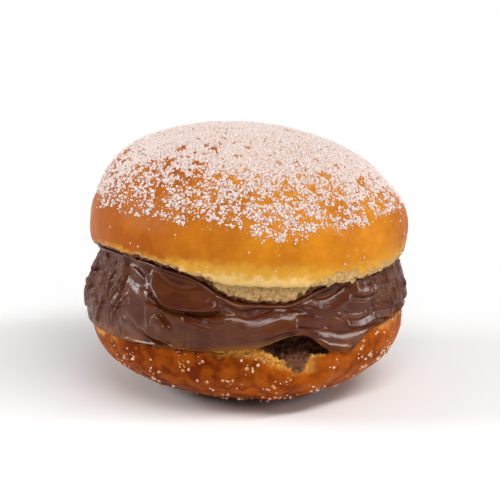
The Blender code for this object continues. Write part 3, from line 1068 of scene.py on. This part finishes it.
class DOUGHNUT_OT_stage(bpy.types.Operator):
    """Adds the floor with its low wall, the room, the soft lights and the camera"""

    bl_idname = "doughnut.stage"
    bl_label = "Stage"

    def execute(self, context):
        stage = context.scene.doughnut_stage
        bm = bmesh.new()
        bmesh.ops.create_circle(bm, cap_ends=True, radius=FLOOR_RADIUS, segments=64)
        rim = [edge for edge in bm.edges if edge.is_boundary]
        wall = bmesh.ops.extrude_edge_only(bm, edges=rim)["geom"]
        top = [part for part in wall if isinstance(part, bmesh.types.BMVert)]
        bmesh.ops.translate(bm, verts=top, vec=(0, 0, WALL_HEIGHT))
        floor = linked("floor", bm)
        made = Finish("pale_floor", 0.9, 0.1)
        floor.data.materials.append(self.floor_finish(made, stage.floor))
        self.room(context.scene, stage.room_light)
        for settings in LAMPS:
            lamp(*settings)
        self.camera(context.scene, stage)
        return {"FINISHED"}

    def floor_finish(self, made, shade):
        """A pale floor that keeps the shadow, and that fades into white far from the object."""
        away = made.node("ShaderNodeVectorMath", Vector=made.place)
        away.operation = "LENGTH"
        far = made.ramp(away.outputs["Value"], FADE_START, FADE_END)
        path = made.tree.nodes.new("ShaderNodeLightPath")
        seen = made.math("MAXIMUM", path.outputs["Is Camera Ray"], path.outputs["Is Glossy Ray"])
        seen = made.math("MAXIMUM", seen, path.outputs["Is Transmission Ray"])
        white = made.node("ShaderNodeEmission", Color=(1, 1, 1, 1), Strength=1.0)
        mixed = made.node("ShaderNodeMixShader", Fac=made.math("MULTIPLY", far, seen))
        made.set(mixed.inputs[1], made.shader.outputs[0])
        made.set(mixed.inputs[2], white.outputs[0])
        output = made.tree.nodes["Material Output"]
        made.set(output.inputs["Surface"], mixed.outputs[0])
        return made.done(shade)

    def room(self, scene, strength):
        """An even soft light from all sides."""
        world = bpy.data.worlds.new("room")
        world.use_nodes = True
        scene.world = world
        background = world.node_tree.nodes["Background"]
        background.inputs["Color"].default_value = (1, 1, 1, 1)
        background.inputs["Strength"].default_value = strength

    def camera(self, scene, stage):
        data = bpy.data.cameras.new("camera")
        data.lens = stage.lens
        made = bpy.data.objects.new("camera", data)
        scene.collection.objects.link(made)
        low, high = CAD_BOX
        aim = Vector((1.26 * MM, 0, low.z + 0.518 * (high.z - low.z)))
        back = Vector((0, -math.cos(stage.elevation), math.sin(stage.elevation)))
        made.location = aim + back * stage.distance
        made.rotation_euler = (-back).to_track_quat("-Z", "Y").to_euler()
        scene.camera = made
        scene.view_settings.view_transform = "Standard"


class DOUGHNUT_PT_panel(bpy.types.Panel):
    """Lists the doughnut's pieces and their settings"""

    bl_idname = "DOUGHNUT_PT_panel"
    bl_label = "Filled Doughnut"
    bl_space_type = "VIEW_3D"
    bl_region_type = "UI"
    bl_category = "Doughnut"

    def draw(self, context):
        for operator in OPERATORS:
            self.layout.operator(operator.bl_idname)
        for group in SETTINGS:
            box = self.layout.box()
            settings = getattr(context.scene, group)
            for key in settings.bl_rna.properties.keys():
                if key not in ("name", "rna_type"):
                    box.prop(settings, key)


OPERATORS = (
    DOUGHNUT_OT_upper_half,
    DOUGHNUT_OT_lower_half,
    DOUGHNUT_OT_cream,
    DOUGHNUT_OT_sugar,
    DOUGHNUT_OT_crumbs,
    DOUGHNUT_OT_stage,
)
SETTINGS = {
    "doughnut_bun": BunSettings,
    "doughnut_lower_crust": LowerCrustSettings,
    "doughnut_cream": CreamSettings,
    "doughnut_sugar": SugarSettings,
    "doughnut_stage": StageSettings,
}


def register():
    for made in (*SETTINGS.values(), *OPERATORS, DOUGHNUT_PT_panel):
        bpy.utils.register_class(made)
    for name, group in SETTINGS.items():
        setattr(bpy.types.Scene, name, PointerProperty(type=group))


def unregister():
    for name in SETTINGS:
        delattr(bpy.types.Scene, name)
    for made in (DOUGHNUT_PT_panel, *OPERATORS, *SETTINGS.values()):
        bpy.utils.unregister_class(made)


def main():
    register()
    for operator in OPERATORS:
        family, name = operator.bl_idname.split(".")
        getattr(getattr(bpy.ops, family), name)()


if __name__ == "__main__":
    main()
